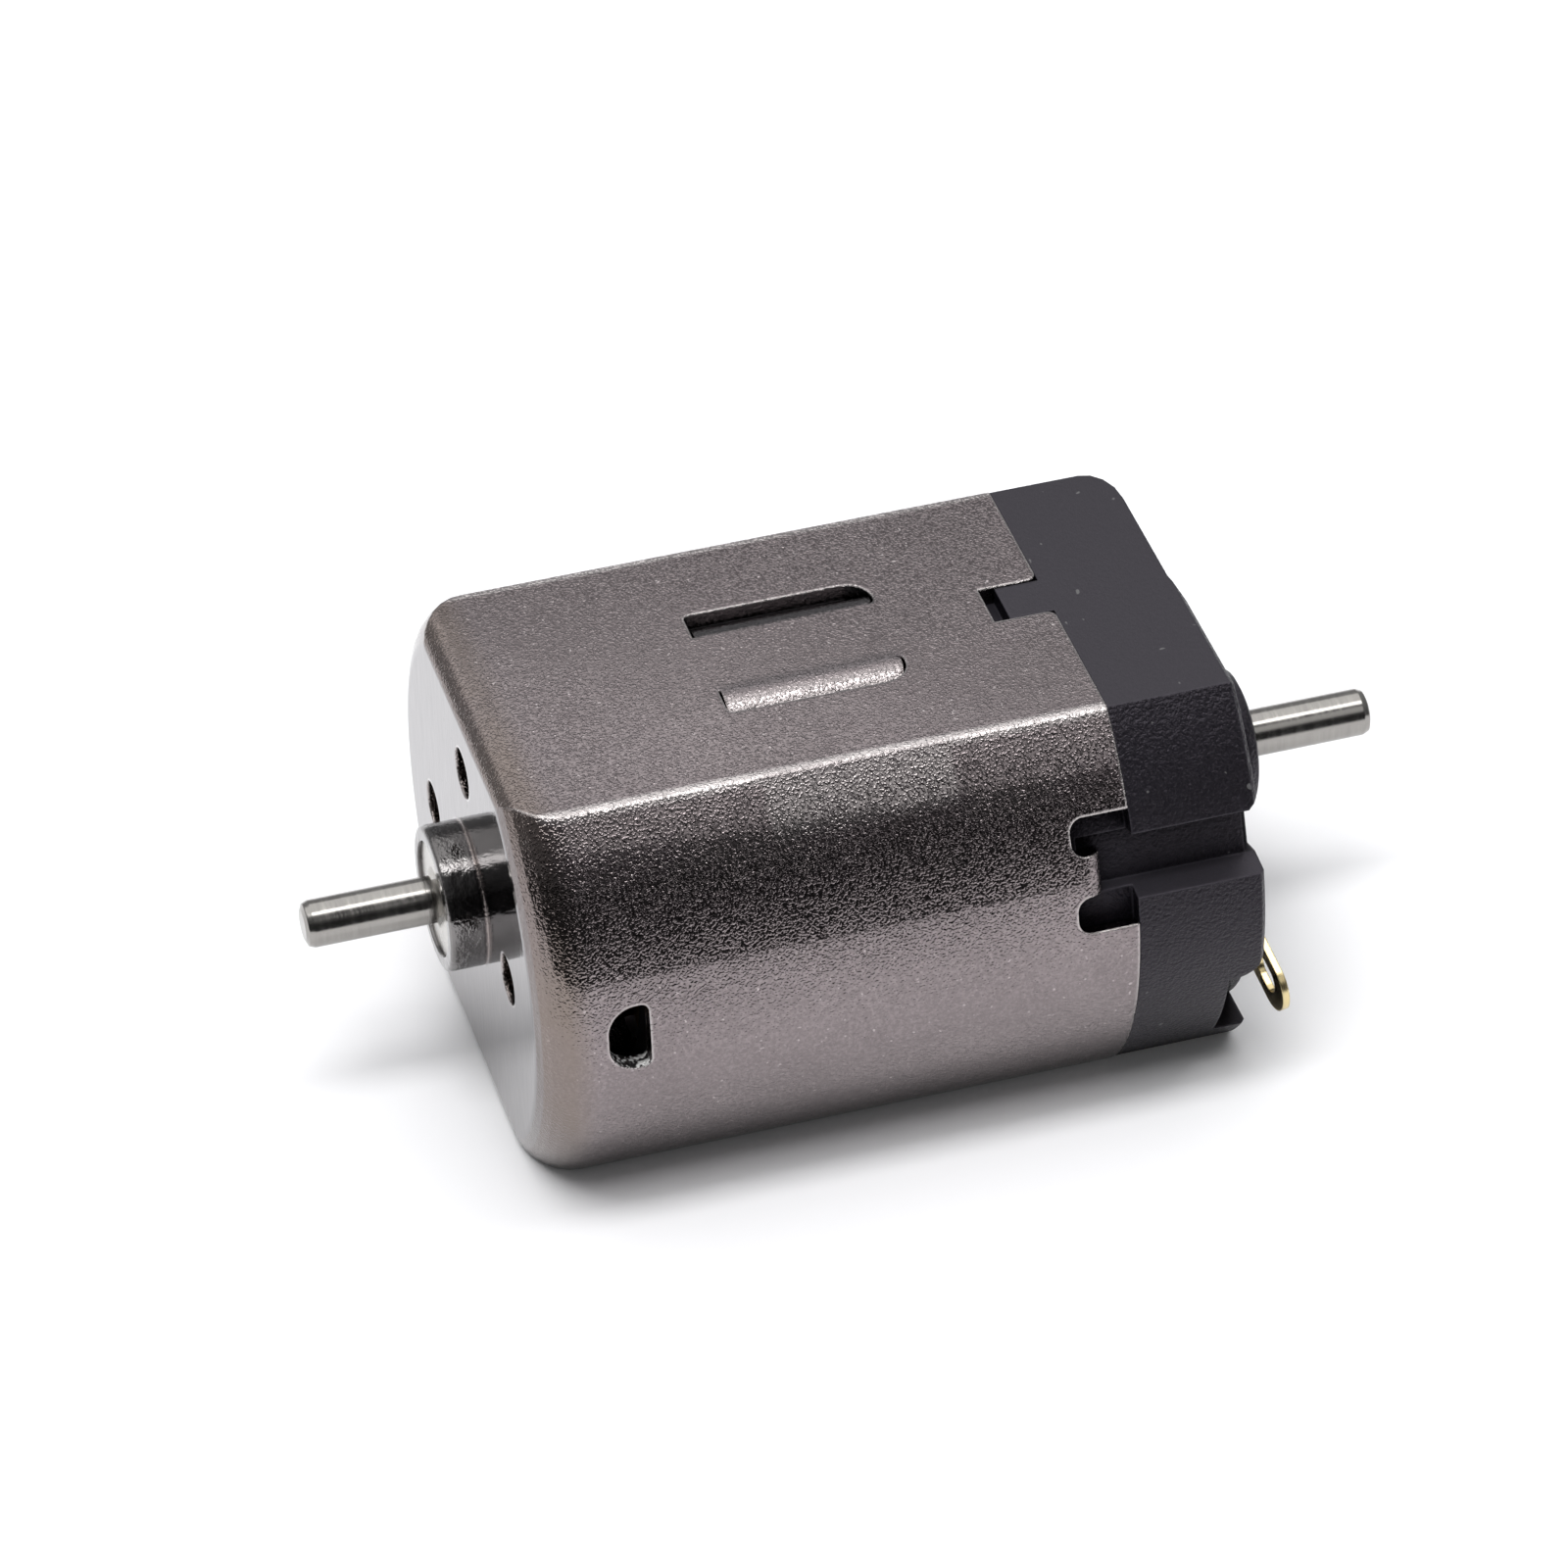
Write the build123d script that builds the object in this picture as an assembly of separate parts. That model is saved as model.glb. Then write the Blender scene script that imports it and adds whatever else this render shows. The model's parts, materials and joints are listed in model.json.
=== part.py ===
"""Small flat-sided DC motor with a shaft out at both ends.

Millimetres. Y runs along the shaft, the drive end faces -Y, Z is up.
The origin is on the shaft axis in the front face of the can.
"""
import os
from math import cos, pi, radians, sin, tan

from build123d import *

# Can shell
CAN_R = 12.1
CAN_HALF_HEIGHT = 9.15
CAN_LEN = 25.0
CAN_WALL = 0.8
CAN_NOSE_R = 2.2
CAN_LIP_R = 0.9
CAN_CREASE_R = 0.4
FACE_SKIM = 0.03

# Front boss and bush
BOSS_R = 3.075
BOSS_LEN = 1.6
BOSS_RIM_R = 0.15
BUSH_R = 2.45
BUSH_LEN = 3.3
BUSH_RECESS = 0.15
BUSH_CHAMFER = 0.3
PRESS_GAP = 0.01

# Holes in the front face
FACE_HOLE_R = 1.1
FACE_HOLE_PITCH_R = 6.1

# Vent in each round side
VENT_SET_BACK = 2.65
VENT_LEN = 1.75
VENT_H = 3.05
VENT_Z = 0.55
VENT_BOW_R = 1.2
VENT_CORNER_R = 0.35

# Lanced tongues in the top flat
TONGUE_HINGE_X = 1.9
TONGUE_W = 1.6
TONGUE_LEN = 7.8
TONGUE_SET_BACK = 2.4
TONGUE_FRONT_R = 0.3
TONGUE_HEEL_R = 0.3
TONGUE_TOE_R = 1.15
TONGUE_TILT = 34.0
TONGUE_TRIM = 0.12
TONGUE_BEND_R = 1.2

# Key and its notch
KEY_X = -0.2
KEY_W = 2.2
KEY_LEN = 1.88
KEY_GAP = 0.08
NOTCH_LEN = 2.55
NOTCH_MOUTH_R = 0.42

# Crimp tabs
CRIMP_ANGLE = 17.1
CRIMP_TAB_W = 1.75
CRIMP_SLOT_W = 1.65
CRIMP_SLOT_LEN = 2.55
CRIMP_SLOT_R = 0.62
CRIMP_FOLD_BACK = 1.3
CRIMP_FOLD_R = 0.75
CRIMP_REACH = 1.12
CRIMP_GAP = 0.05

# End cap
CAP_INSET = 0.05
CAP_SEAT = 0.03
CAP_LEN = 5.17
CAP_FLOOR_T = 1.65
CAP_PAD_STEP = 0.25
CAP_RAMP_X = 0.1
CAP_RAMP_RUN = 1.6
CAP_FAR_R = 1.3
CAP_EDGE = 0.18
SPIGOT_LEN = 4.03
SPIGOT_GAP = 0.05
SPIGOT_WALL = 1.2

# Groove in the cap behind each crimp tab
GROOVE_W = 2.85
GROOVE_DEPTH = 1.3
GROOVE_LEAN = 0.6
GROOVE_BACK_SET = 0.42
GROOVE_BACK_DEPTH = 1.0

# Rear boss and bush
REAR_BOSS_R = 3.0
REAR_BOSS_LEN = 3.2
REAR_BOSS_RIM_R = 0.45
REAR_BUSH_R = 2.2
REAR_BUSH_LEN = 4.4
REAR_LIP = 0.35
REAR_LIP_R = 1.6

# Terminal recess in the cap
RECESS_LEN = 1.45
RECESS_TOP_Z = -3.2
RECESS_FOOT_Z = -7.4
RECESS_DEPTH = 1.6
RECESS_CORNER_R = 1.25

# Terminals
LUG_ANGLE = -25.0
LUG_DEPTH = 2.85
LUG_T = 0.3
LUG_W = 2.3
LUG_IN = 4.8
LUG_OUT = 0.6
LUG_RISE = 0.47
LUG_REACH = 3.47
LUG_BEND_R = 0.6
LUG_EYE_R = 0.6
LUG_EYE_RUN = 0.5
LUG_EYE_BACK = 1.7
LUG_FIT = 0.06

# Magnets and their spring
MAGNET_T = 3.33
MAGNET_SET_BACK = 5.0
MAGNET_END_GAP = 0.4
MAGNET_GAP = 0.02
SPRING_T = 0.3
SPRING_H = 1.15
SPRING_INSET = 3.0

# Shaft
SHAFT_R = 1.0
SHAFT_FRONT_OUT = 5.5
SHAFT_REAR_OUT = 5.6
SHAFT_TIP_R = 0.35
SHAFT_NECK_R = 0.8
SHAFT_NECK_LEN = 0.8
RUN_GAP = 0.03

# Armature
POLES = 3
AIR_GAP = 0.45
FLAT_GAP = 0.85
CORE_FRONT_INSET = 0.9
CORE_REAR_INSET = 2.7
CORE_HUB_R = 2.7
TOOTH_W = 2.4
SHOE_T = 1.15
SHOE_ANGLE = 98.0
INSULATOR_T = 0.45
INSULATOR_INSET = 0.15
COIL_IN_R = 3.0
COIL_UNDER_SHOE = 0.3
COIL_SIDE = 1.75
COIL_END = 1.7
COIL_ROUND = 1.1
COIL_GAP = 0.02

# Commutator
HUB_R = 2.2
HUB_FLANGE_R = 2.9
HUB_FLANGE_T = 2.0
HUB_LEN = 4.6
HUB_NOSE_R = 1.6
HUB_NOSE_LEN = 2.2
BAR_R = 2.65
BAR_LEN = 4.3
BAR_ANGLE = 112.0
TANG_R = 3.9
TANG_T = 0.4
TANG_W = 1.2
RING_R = 3.0
RING_LEN = 0.55

# Brush gear
ARM_T = 0.2
ARM_W = 4.0
ARM_SET_BACK = 0.9
ARM_TOP_Z = 1.7
ARM_FLAT_GAP = 1.5
ARM_ELBOW_X = 6.3
ARM_BEND_R = 0.5
BRUSH_W = 2.0
BRUSH_LEN = 2.2
BRUSH_T = 1.57
BRUSH_SET_BACK = 1.4
BRUSH_GAP = 0.08

# Washers and sleeve
WASHER_R = 1.75
WASHER_T = 0.25
WASHER_GAP = 0.04
SLEEVE_R = 1.6

# Steps in a turned rim
NOSE_STEPS = 7
RIM_STEPS = 2
TIP_STEPS = 2
CORNER_STEPS = 4

# Working margin for cutters
PAST = 2.0

# Places along the shaft
front_bush_y = -BOSS_LEN + BUSH_RECESS
front_bush_end = front_bush_y + BUSH_LEN
cap_front = CAN_LEN + CAP_SEAT
cap_rear = cap_front + CAP_LEN
cap_pad = cap_rear + CAP_PAD_STEP
cap_floor = cap_rear - CAP_FLOOR_T
spigot_front = cap_front - SPIGOT_LEN
rear_boss_end = cap_rear + REAR_BOSS_LEN
rear_bush_end = rear_boss_end - REAR_LIP
rear_bush_y = rear_bush_end - REAR_BUSH_LEN
fold_y = CAN_LEN - CRIMP_FOLD_BACK
magnet_front = MAGNET_SET_BACK
magnet_rear = spigot_front - MAGNET_END_GAP
tongue_rear = magnet_rear - TONGUE_SET_BACK
tongue_front = tongue_rear - TONGUE_LEN
core_front = magnet_front + CORE_FRONT_INSET
core_rear = magnet_rear - CORE_REAR_INSET
insulator_front = core_front - INSULATOR_T
insulator_rear = core_rear + INSULATOR_T
bar_front = spigot_front
bar_rear = bar_front + BAR_LEN
shaft_front = -BOSS_LEN - SHAFT_FRONT_OUT
shaft_rear = rear_boss_end + SHAFT_REAR_OUT

# Places across the shaft
can_in_r = CAN_R - CAN_WALL
can_in_flat = CAN_HALF_HEIGHT - CAN_WALL
cap_r = CAN_R - CAP_INSET
cap_flat = CAN_HALF_HEIGHT - CAP_INSET
spigot_r = can_in_r - SPIGOT_GAP
spigot_flat = can_in_flat - SPIGOT_GAP
cavity_r = spigot_r - SPIGOT_WALL
cavity_flat = spigot_flat - SPIGOT_WALL
groove_floor_r = cap_r - GROOVE_DEPTH
lug_r = cap_r - LUG_DEPTH
tongue_edge_x = TONGUE_HINGE_X + TONGUE_W
magnet_edge_x = tongue_edge_x - TONGUE_TRIM + MAGNET_GAP
magnet_r = can_in_r - MAGNET_GAP
bore_r = magnet_r - MAGNET_T
core_r = min(bore_r - AIR_GAP, can_in_flat - FLAT_GAP)
coil_out_r = core_r - SHOE_T - COIL_UNDER_SHOE
arm_face_x = BAR_R + BRUSH_GAP + BRUSH_T


def carry(profile, y0, y1):
    """Carry an X/Z profile from y0 to y1."""
    return Pos(0, y1, 0) * extrude(Plane.XZ * profile, amount=y1 - y0)


def ring(r_out, r_in, y0, y1):
    """Plain tube about the shaft axis."""
    return carry(Circle(r_out) - Circle(r_in), y0, y1)


def disc(r_out, y0, y1):
    """Plain cylinder about the shaft axis."""
    return carry(Circle(r_out), y0, y1)


def flat_round(radius, half_flat):
    """Circle cut by two flats."""
    return Circle(radius) & Rectangle(2 * radius, 2 * half_flat)


def span(x0, x1, y0, y1):
    """Rectangle between two corners."""
    return Pos((x0 + x1) / 2, (y0 + y1) / 2) * Rectangle(x1 - x0, y1 - y0)


def raise_to(shape, angle):
    """Turn a shape drawn along +X up to an angle above +X."""
    return Rot(0, -angle, 0) * shape


def both_sides(shape):
    """The shape and its mirror on the other side."""
    return [shape, mirror(shape, about=Plane.YZ)]


def from_above(plan):
    """Cutter through the top flat with an X/Y plan."""
    return Pos(0, 0, CAN_HALF_HEIGHT - PAST) * extrude(plan, amount=2 * PAST)


def from_side(plan, depth_r):
    """Cutter along X from a radius outwards with a Y/Z plan."""
    return Pos(depth_r, 0, 0) * extrude(Plane.YZ * plan, amount=2 * PAST)


def bent_strip(points, bend_r, thickness):
    """Face of a strip of even thickness along a bent path."""
    path = FilletPolyline(*points, radius=bend_r)
    edge = offset(path, thickness / 2, kind=Kind.INTERSECTION, side=Side.BOTH, closed=True)
    return make_face(edge.edges())


def soft_end(radius, y_end, y_root, soft, steps):
    """Half profile of a turned body, its outer edge at y_end rounded in short steps."""
    inward = soft if y_root > y_end else -soft
    turns = [index * pi / 2 / steps for index in range(steps + 1)]
    corner = [(radius - soft * (1 - sin(t)), y_end + inward * (1 - cos(t))) for t in turns]
    return make_face(Polyline((0, y_end), *corner, (radius, y_root), (0, y_root), close=True))


def can_outside():
    """Solid of the can: round nose, rolled lips on the flats, soft creases."""
    turned = revolve(soft_end(CAN_R, -FACE_SKIM, CAN_LEN, CAN_NOSE_R, NOSE_STEPS), Axis.Y)
    side = span(-FACE_SKIM, CAN_LEN, -CAN_HALF_HEIGHT, CAN_HALF_HEIGHT)
    lips = side.vertices().group_by(Axis.X)[0]
    flats = extrude(Plane.YZ * fillet(lips, CAN_LIP_R), amount=CAN_R, both=True)
    outline = flat_round(CAN_R, CAN_HALF_HEIGHT)
    tube = carry(fillet(outline.vertices(), CAN_CREASE_R), 0, CAN_LEN)
    return tube & turned & flats


def can_inside():
    """Space inside the can, cut back behind the rounded nose."""
    half = span(0, can_in_r, CAN_WALL, CAN_LEN + PAST)
    nose = half.vertices().group_by(Axis.Y)[0].sort_by(Axis.X)[-1]
    turned = revolve(chamfer(nose, CAN_NOSE_R - CAN_WALL), Axis.Y)
    return turned & carry(Rectangle(2 * CAN_R, 2 * can_in_flat), 0, CAN_LEN + PAST)


def face_holes():
    """Three holes in the front face: left, right and above the boss."""
    spots = [(FACE_HOLE_PITCH_R, 0), (-FACE_HOLE_PITCH_R, 0), (0, FACE_HOLE_PITCH_R)]
    return [carry(Pos(x, z) * Circle(FACE_HOLE_R), -PAST, PAST) for x, z in spots]


def side_vent():
    """D-shaped vent, bowed to the front and straight to the rear."""
    plan = span(VENT_SET_BACK, VENT_SET_BACK + VENT_LEN, VENT_Z - VENT_H / 2, VENT_Z + VENT_H / 2)
    plan = fillet(plan.vertices().group_by(Axis.X)[0], VENT_BOW_R)
    plan = fillet(plan.vertices().group_by(Axis.X)[-1], VENT_CORNER_R)
    return from_side(plan, CAN_R - PAST)


def tongue_plan(trim):
    """Plan of a tongue: square front, its free rear corner well rounded."""
    plan = span(TONGUE_HINGE_X, tongue_edge_x - trim, tongue_front + trim, tongue_rear - trim)
    heel = plan.vertices().group_by(Axis.Y)[-1].sort_by(Axis.X)[0]
    plan = fillet(heel, TONGUE_HEEL_R)
    toe = plan.vertices().group_by(Axis.X)[-1].sort_by(Axis.Y)[-1]
    plan = fillet(toe, TONGUE_TOE_R - trim)
    front = plan.vertices().group_by(Axis.Y)[0].sort_by(Axis.X)[-1]
    return fillet(front, TONGUE_FRONT_R)


def tongue():
    """Tongue bent down into the can along its inner edge."""
    middle = CAN_HALF_HEIGHT - CAN_WALL / 2
    reach = 2 * TONGUE_W
    tilt = radians(TONGUE_TILT)
    root = (TONGUE_HINGE_X - CAN_WALL, middle)
    knee = (TONGUE_HINGE_X + TONGUE_BEND_R * tan(tilt / 2), middle)
    tip = (knee[0] + reach * cos(tilt), middle - reach * sin(tilt))
    sheet = carry(bent_strip([root, knee, tip], TONGUE_BEND_R, CAN_WALL), tongue_front, tongue_rear)
    return sheet & from_above(tongue_plan(TONGUE_TRIM))


def key_notch():
    """Notch for the cap's key, its mouth rounded outwards."""
    half = KEY_W / 2 + KEY_GAP
    wide = half + NOTCH_MOUTH_R
    mouth_y = CAN_LEN - NOTCH_MOUTH_R
    plan = span(-half, half, CAN_LEN - NOTCH_LEN, CAN_LEN + PAST)
    plan += span(-wide, wide, mouth_y, CAN_LEN + PAST)
    for side in (wide, -wide):
        plan -= Pos(side, mouth_y) * Circle(NOTCH_MOUTH_R)
    return from_above(Pos(KEY_X, 0) * plan)


def crimp_slots():
    """Two slots either side of a crimp tab, and the space behind the tab."""
    near = CRIMP_TAB_W / 2
    far = near + CRIMP_SLOT_W
    plan = span(fold_y - CRIMP_FOLD_R, CAN_LEN + PAST, -far, far)
    for z0, z1 in ((near, far), (-far, -near)):
        slot = span(CAN_LEN - CRIMP_SLOT_LEN, CAN_LEN + PAST, z0, z1)
        plan += fillet(slot.vertices().group_by(Axis.X)[0], CRIMP_SLOT_R)
    return raise_to(from_side(plan, CAN_R - PAST), CRIMP_ANGLE)


def crimp_tab():
    """Tab folded inwards behind the cap's shoulder."""
    slot_y = CAN_LEN - CRIMP_SLOT_LEN
    tip_r = CAN_R - CRIMP_REACH
    fold = span(tip_r, CAN_R, slot_y, fold_y)
    bend = fold.vertices().group_by(Axis.Y)[-1].sort_by(Axis.X)[-1]
    fold = fillet(bend, CRIMP_FOLD_R)
    fold -= span(tip_r - PAST, can_in_r, slot_y - PAST, fold_y - CAN_WALL)
    strip = carry(span(0, CAN_R + PAST, -CRIMP_TAB_W / 2, CRIMP_TAB_W / 2), slot_y, fold_y)
    return raise_to(revolve(fold, Axis.Y) & strip, CRIMP_ANGLE)


def make_can():
    """Drawn shell with boss, holes, tongues, notch and crimps."""
    can = can_outside() - can_inside()
    can += revolve(soft_end(BOSS_R, -BOSS_LEN, CAN_WALL, BOSS_RIM_R, RIM_STEPS), Axis.Y)
    can -= disc(BUSH_R + PRESS_GAP, -BOSS_LEN - PAST, CAN_WALL + PAST)
    for hole in face_holes():
        can -= hole
    for cutter in (side_vent(), from_above(tongue_plan(0)), crimp_slots()):
        for side in both_sides(cutter):
            can -= side
    can -= key_notch()
    for piece in both_sides(tongue()) + both_sides(crimp_tab()):
        can += piece
    return can


def bush(r_out, y_face, y_back):
    """Plain bearing bush, the bore mouth in its outer face chamfered."""
    half = span(SHAFT_R + RUN_GAP, r_out, min(y_face, y_back), max(y_face, y_back))
    mouth = half.vertices().sort_by_distance((SHAFT_R, y_face))[0]
    return revolve(chamfer(mouth, BUSH_CHAMFER), Axis.Y)


def cap_far_half():
    """Far half of the cap body, its rear edge well rounded."""
    turned = revolve(soft_end(cap_r, cap_rear, cap_front, CAP_FAR_R, CORNER_STEPS), Axis.Y)
    return turned & carry(span(-cap_r, CAP_RAMP_X, -cap_flat, cap_flat), cap_front, cap_rear)


def cap_near_half():
    """Near half of the cap body: crisp edges and a rear face raised up a ramp."""
    block = carry(flat_round(cap_r, cap_flat), cap_front, cap_pad)
    block = chamfer(block.faces().sort_by(Axis.Y)[-1].edges(), CAP_EDGE)
    ramp_end = CAP_RAMP_X + CAP_RAMP_RUN
    plan = Polyline(
        (CAP_RAMP_X, cap_front),
        (cap_r, cap_front),
        (cap_r, cap_pad),
        (ramp_end, cap_pad),
        (CAP_RAMP_X, cap_rear),
        close=True,
    )
    return block & extrude(make_face(plan), amount=cap_flat, both=True)


def cap_spigot():
    """Part of the cap that enters the can, with its key."""
    body = carry(flat_round(spigot_r, spigot_flat), spigot_front, cap_front)
    key = span(KEY_X - KEY_W / 2, KEY_X + KEY_W / 2, cavity_flat, cap_flat)
    return body + carry(key, cap_front - KEY_LEN, cap_front)


def cap_groove():
    """Groove behind a crimp tab, its lower wall leaning out, open to the rear."""
    half = GROOVE_W / 2
    foot = -half + GROOVE_LEAN
    clear_r = cap_r + PAST
    outline = Polyline(
        (groove_floor_r, half),
        (groove_floor_r, foot),
        (cap_r, -half),
        (clear_r, -half),
        (clear_r, half),
        close=True,
    )
    groove = carry(make_face(outline), fold_y - CAN_WALL - CRIMP_GAP, cap_pad + PAST)
    back_y = cap_pad - GROOVE_BACK_SET
    flare = Polyline(
        (back_y, foot),
        (back_y, half),
        (cap_pad, half + GROOVE_BACK_SET),
        (cap_pad + PAST, half + GROOVE_BACK_SET),
        (cap_pad + PAST, foot),
        close=True,
    )
    back = from_side(make_face(flare), groove_floor_r - GROOVE_BACK_DEPTH)
    return raise_to(groove + back, CRIMP_ANGLE)


def terminal_recess():
    """Recess in the side of the cap beside a terminal."""
    front = cap_pad - RECESS_LEN
    rear = cap_pad + PAST
    corner_y = cap_pad - RECESS_CORNER_R
    high = RECESS_TOP_Z + RECESS_CORNER_R
    plan = span(front, rear, RECESS_FOOT_Z, RECESS_TOP_Z)
    plan += span(corner_y, rear, RECESS_TOP_Z, high) - Pos(corner_y, high) * Circle(RECESS_CORNER_R)
    band = extrude(Plane.YZ * plan, amount=cap_r + PAST)
    return band - disc(cap_r - RECESS_DEPTH, front - PAST, rear + PAST)


def lug_slot():
    """Slot through the cap's rear wall for a terminal."""
    half = LUG_T / 2 + LUG_FIT
    cutter = span(lug_r - half, lug_r + half, cap_floor - PAST, cap_pad + PAST)
    return raise_to(extrude(cutter, amount=LUG_W / 2 + LUG_FIT, both=True), LUG_ANGLE)


def make_end_cap():
    """Moulded rear cap."""
    cap = cap_far_half() + cap_near_half() + cap_spigot()
    cap -= carry(flat_round(cavity_r, cavity_flat), spigot_front - PAST, cap_floor)
    cap += revolve(soft_end(REAR_BOSS_R, rear_boss_end, cap_floor, REAR_BOSS_RIM_R, RIM_STEPS), Axis.Y)
    cap -= disc(REAR_BUSH_R + PRESS_GAP, cap_floor - PAST, rear_bush_end)
    cap -= disc(REAR_LIP_R, cap_floor, rear_boss_end + PAST)
    for cutter in (cap_groove(), terminal_recess(), lug_slot()):
        for side in both_sides(cutter):
            cap -= side
    return cap


def make_terminal():
    """Solder lug bent outwards, with a round end and a long eye."""
    knee = (lug_r, cap_pad + LUG_OUT)
    tip = Vector(lug_r + LUG_REACH, knee[1] + LUG_RISE)
    face = bent_strip([(lug_r, cap_rear - LUG_IN), knee, (tip.X, tip.Y)], LUG_BEND_R, LUG_T)
    strip = extrude(face, amount=LUG_W / 2, both=True)
    run = Vector(LUG_REACH, LUG_RISE, 0).normalized()
    flat = Plane(origin=(tip.X, tip.Y, 0), x_dir=run, z_dir=run.cross(Vector(0, 0, 1)))
    end = span(-LUG_W / 2, PAST, -LUG_W, LUG_W) - Pos(-LUG_W / 2, 0) * Circle(LUG_W / 2)
    eye = Pos(-LUG_EYE_BACK, 0) * SlotCenterToCenter(LUG_EYE_RUN, 2 * LUG_EYE_R)
    strip -= extrude(flat * (end + eye), amount=PAST, both=True)
    return raise_to(strip, LUG_ANGLE)


def make_magnet():
    """Arc magnet against one round side, its edges held by the tongue and the spring."""
    arc = flat_round(magnet_r, can_in_flat - MAGNET_GAP) - Circle(bore_r)
    arc &= span(magnet_edge_x, CAN_R, -CAN_HALF_HEIGHT, CAN_HALF_HEIGHT)
    return carry(arc, magnet_front, magnet_rear)


def make_magnet_spring():
    """Channel-shaped clip that spreads the magnets apart on the lower flat."""
    low = -can_in_flat + MAGNET_GAP
    half = magnet_edge_x - MAGNET_GAP
    channel = span(-half, half, low, low + SPRING_H)
    channel -= span(-half + SPRING_T, half - SPRING_T, low + SPRING_T, low + SPRING_H)
    return carry(channel, magnet_front + SPRING_INSET, magnet_rear - SPRING_INSET)


def make_brush_arm():
    """Leaf spring from the terminal to the brush."""
    out = Vector(cos(radians(LUG_ANGLE)), sin(radians(LUG_ANGLE)))
    along = Vector(-out.Y, out.X) * (LUG_W / 2)
    seat = out * (lug_r - LUG_T / 2 - ARM_T / 2)
    reach_x = arm_face_x + ARM_T / 2
    low_z = -cavity_flat + ARM_FLAT_GAP
    points = [
        (seat.X + along.X, seat.Y + along.Y),
        (seat.X - along.X, seat.Y - along.Y),
        (ARM_ELBOW_X, low_z),
        (reach_x, low_z),
        (reach_x, ARM_TOP_Z),
    ]
    arm_y = spigot_front + ARM_SET_BACK
    return carry(bent_strip(points, ARM_BEND_R, ARM_T), arm_y, arm_y + ARM_W)


def make_brush():
    """Carbon block shaped to the commutator."""
    block = span(0, arm_face_x, -BRUSH_W / 2, BRUSH_W / 2) - Circle(BAR_R + BRUSH_GAP)
    brush_y = spigot_front + BRUSH_SET_BACK
    return carry(block, brush_y, brush_y + BRUSH_LEN)


def make_shaft():
    """Shaft with rounded tips, necked in the mouth of each bush to shed oil."""
    half = soft_end(SHAFT_R, shaft_front, CAN_LEN, SHAFT_TIP_R, TIP_STEPS)
    half += soft_end(SHAFT_R, shaft_rear, CAN_LEN, SHAFT_TIP_R, TIP_STEPS)
    for neck_y in (-BOSS_LEN, rear_boss_end - SHAFT_NECK_LEN):
        half -= span(SHAFT_NECK_R, SHAFT_R + PAST, neck_y, neck_y + SHAFT_NECK_LEN)
    return revolve(half, Axis.Y)


def pole_angles():
    """Angles of the poles about the shaft, the first one upright."""
    return [90 + index * 360 / POLES for index in range(POLES)]


def wedge(reach, angle):
    """Sector along +X."""
    half = radians(angle / 2)
    tip = (reach * cos(half), reach * sin(half))
    return make_face(Polyline((0, 0), (tip[0], -tip[1]), (2 * reach, 0), tip, close=True))


def core_star(inset):
    """Hub and teeth of the armature, drawn in by an inset."""
    star = Circle(CORE_HUB_R - inset)
    tooth = span(0, core_r - SHOE_T / 2, -TOOTH_W / 2 + inset, TOOTH_W / 2 - inset)
    for angle in pole_angles():
        star += Rot(0, 0, angle) * tooth
    return star - Circle(SHAFT_R)


def make_core():
    """Lamination stack with a shoe on each tooth."""
    profile = core_star(0)
    shoe = (Circle(core_r) - Circle(core_r - SHOE_T)) & wedge(2 * core_r, SHOE_ANGLE)
    for angle in pole_angles():
        profile += Rot(0, 0, angle) * shoe
    return carry(profile, core_front, core_rear)


def make_coils():
    """One winding round each tooth."""
    half_in = TOOTH_W / 2 + COIL_GAP
    half_out = half_in + COIL_SIDE
    y0 = insulator_front - COIL_GAP
    y1 = insulator_rear + COIL_GAP
    loop = span(y0 - COIL_END, y1 + COIL_END, -half_out, half_out)
    loop = fillet(loop.vertices(), COIL_ROUND) - span(y0, y1, -half_in, half_in)
    coil = Pos(COIL_IN_R, 0, 0) * extrude(Plane.YZ * loop, amount=coil_out_r - COIL_IN_R)
    coil &= disc(core_r - SHOE_T - COIL_GAP, y0 - PAST, y1 + PAST)
    return [raise_to(coil, angle) for angle in pole_angles()]


def make_hub():
    """Moulded commutator body with a flange and a rear nose."""
    rear = bar_front + HUB_LEN
    half = span(SHAFT_R, HUB_FLANGE_R, bar_front - HUB_FLANGE_T, bar_front)
    half += span(SHAFT_R, HUB_R, bar_front, rear)
    half += span(SHAFT_R, HUB_NOSE_R, rear, rear + HUB_NOSE_LEN)
    return revolve(half, Axis.Y)


def make_bars():
    """Copper segments with a tang each."""
    arc = (Circle(BAR_R) - Circle(HUB_R)) & wedge(2 * BAR_R, BAR_ANGLE)
    tang = span(BAR_R - TANG_T, TANG_R, -TANG_W / 2, TANG_W / 2) - Circle(HUB_R)
    bar = carry(arc, bar_front, bar_rear) + carry(tang, bar_front, bar_front + TANG_T)
    return [raise_to(bar, angle) for angle in pole_angles()]


def washer(y0):
    """Thrust washer on the shaft."""
    return ring(WASHER_R, SHAFT_R, y0, y0 + WASHER_T)


def save(name, shape):
    """Write one piece."""
    export_step(shape, f"parts/{name}.step")


def save_pair(name, shape):
    """Write a piece and its mirror."""
    right, left = both_sides(shape)
    save(f"{name}_right", right)
    save(f"{name}_left", left)


os.makedirs("parts", exist_ok=True)
front_washer_y = front_bush_end + WASHER_GAP
rear_washer_y = rear_bush_y - WASHER_GAP - WASHER_T
sleeve_front = front_washer_y + WASHER_T + WASHER_GAP

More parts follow.
